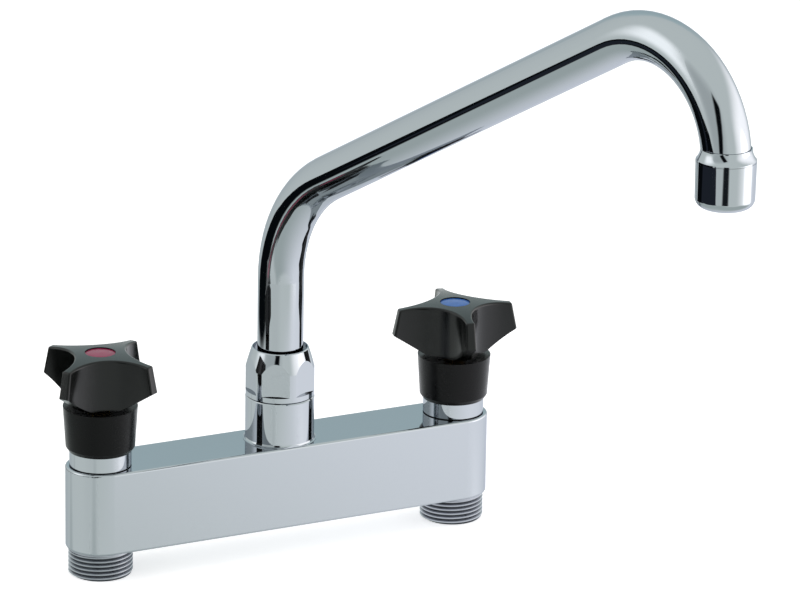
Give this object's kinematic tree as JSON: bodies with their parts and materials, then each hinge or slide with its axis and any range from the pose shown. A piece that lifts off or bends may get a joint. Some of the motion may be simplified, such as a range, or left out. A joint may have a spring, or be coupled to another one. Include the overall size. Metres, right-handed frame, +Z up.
{
  "type": "two handle kitchen faucet",
  "caption": "Chromed bridge kitchen faucet with a long bent swivel spout, black cross handles on black sleeves, and red and blue index buttons.",
  "frame": {"origin": "midway between the two inlets, on the underside of the mixer body, where the threaded tails begin", "axes": "+X along the body from the hot inlet to the cold inlet, -Y towards the user, +Z up"},
  "size_m": [0.2106, 0.2791, 0.2724],
  "materials": {
    "chrome": "polished",
    "steel_grey": "plated thread",
    "brass": "machined",
    "spring_steel": "bright",
    "black_plastic": "satin",
    "charcoal_plastic": "satin",
    "white_plastic": "moulded",
    "rubber": "matte",
    "hot_index": "gloss",
    "cold_index": "gloss"
  },
  "bodies": {
    "mixer": {"mixer_body": "chrome", "spout_spigot": "chrome", "spout_nut": "chrome", "hot_inlet_nipple": "steel_grey", "hot_bonnet": "chrome", "hot_bonnet_washer": "rubber", "hot_sleeve": "black_plastic", "cold_inlet_nipple": "steel_grey", "cold_bonnet": "chrome", "cold_bonnet_washer": "rubber", "cold_sleeve": "black_plastic"},
    "spout": {"spout_tube": "chrome", "spout_foot": "brass", "spout_o_rings": "rubber", "spout_split_ring": "white_plastic", "spout_nozzle": "chrome", "aerator_housing": "chrome", "aerator_insert": "white_plastic", "aerator_washer": "rubber"},
    "hot_control": {"hot_handle": "charcoal_plastic", "hot_handle_screw": "spring_steel", "hot_index_button": "hot_index", "hot_spindle": "brass", "hot_spindle_o_rings": "rubber", "hot_retaining_clip": "spring_steel"},
    "hot_jumper": {"hot_plunger": "brass", "hot_seat_washer": "rubber", "hot_washer_screw": "brass"},
    "cold_control": {"cold_handle": "charcoal_plastic", "cold_handle_screw": "spring_steel", "cold_index_button": "cold_index", "cold_spindle": "brass", "cold_spindle_o_rings": "rubber", "cold_retaining_clip": "spring_steel"},
    "cold_jumper": {"cold_plunger": "brass", "cold_seat_washer": "rubber", "cold_washer_screw": "brass"}
  },
  "joints": [
    {"name": "spout_swivel", "type": "hinge", "parent": "mixer", "child": "spout", "pos_m": [0, 0, 0.05], "axis": [0, 0, 1], "continuous": true},
    {"name": "hot_handle_turn", "type": "hinge", "parent": "mixer", "child": "hot_control", "pos_m": [-0.0805, 0, 0.07], "axis": [0, 0, 1], "range_deg": [0, 900]},
    {"name": "hot_plunger_lift", "type": "slide", "parent": "mixer", "child": "hot_jumper", "axis": [0, 0, 1], "range_m": [0, 0.005]},
    {"name": "cold_handle_turn", "type": "hinge", "parent": "mixer", "child": "cold_control", "pos_m": [0.0805, 0, 0.07], "axis": [0, 0, 1], "range_deg": [0, 900]},
    {"name": "cold_plunger_lift", "type": "slide", "parent": "mixer", "child": "cold_jumper", "axis": [0, 0, 1], "range_m": [0, 0.005]}
  ],
  "couplings": [
    {"joint": "hot_plunger_lift", "follows": "hot_handle_turn", "m_per_rad": 0.0003183},
    {"joint": "cold_plunger_lift", "follows": "cold_handle_turn", "m_per_rad": 0.0003183}
  ]
}
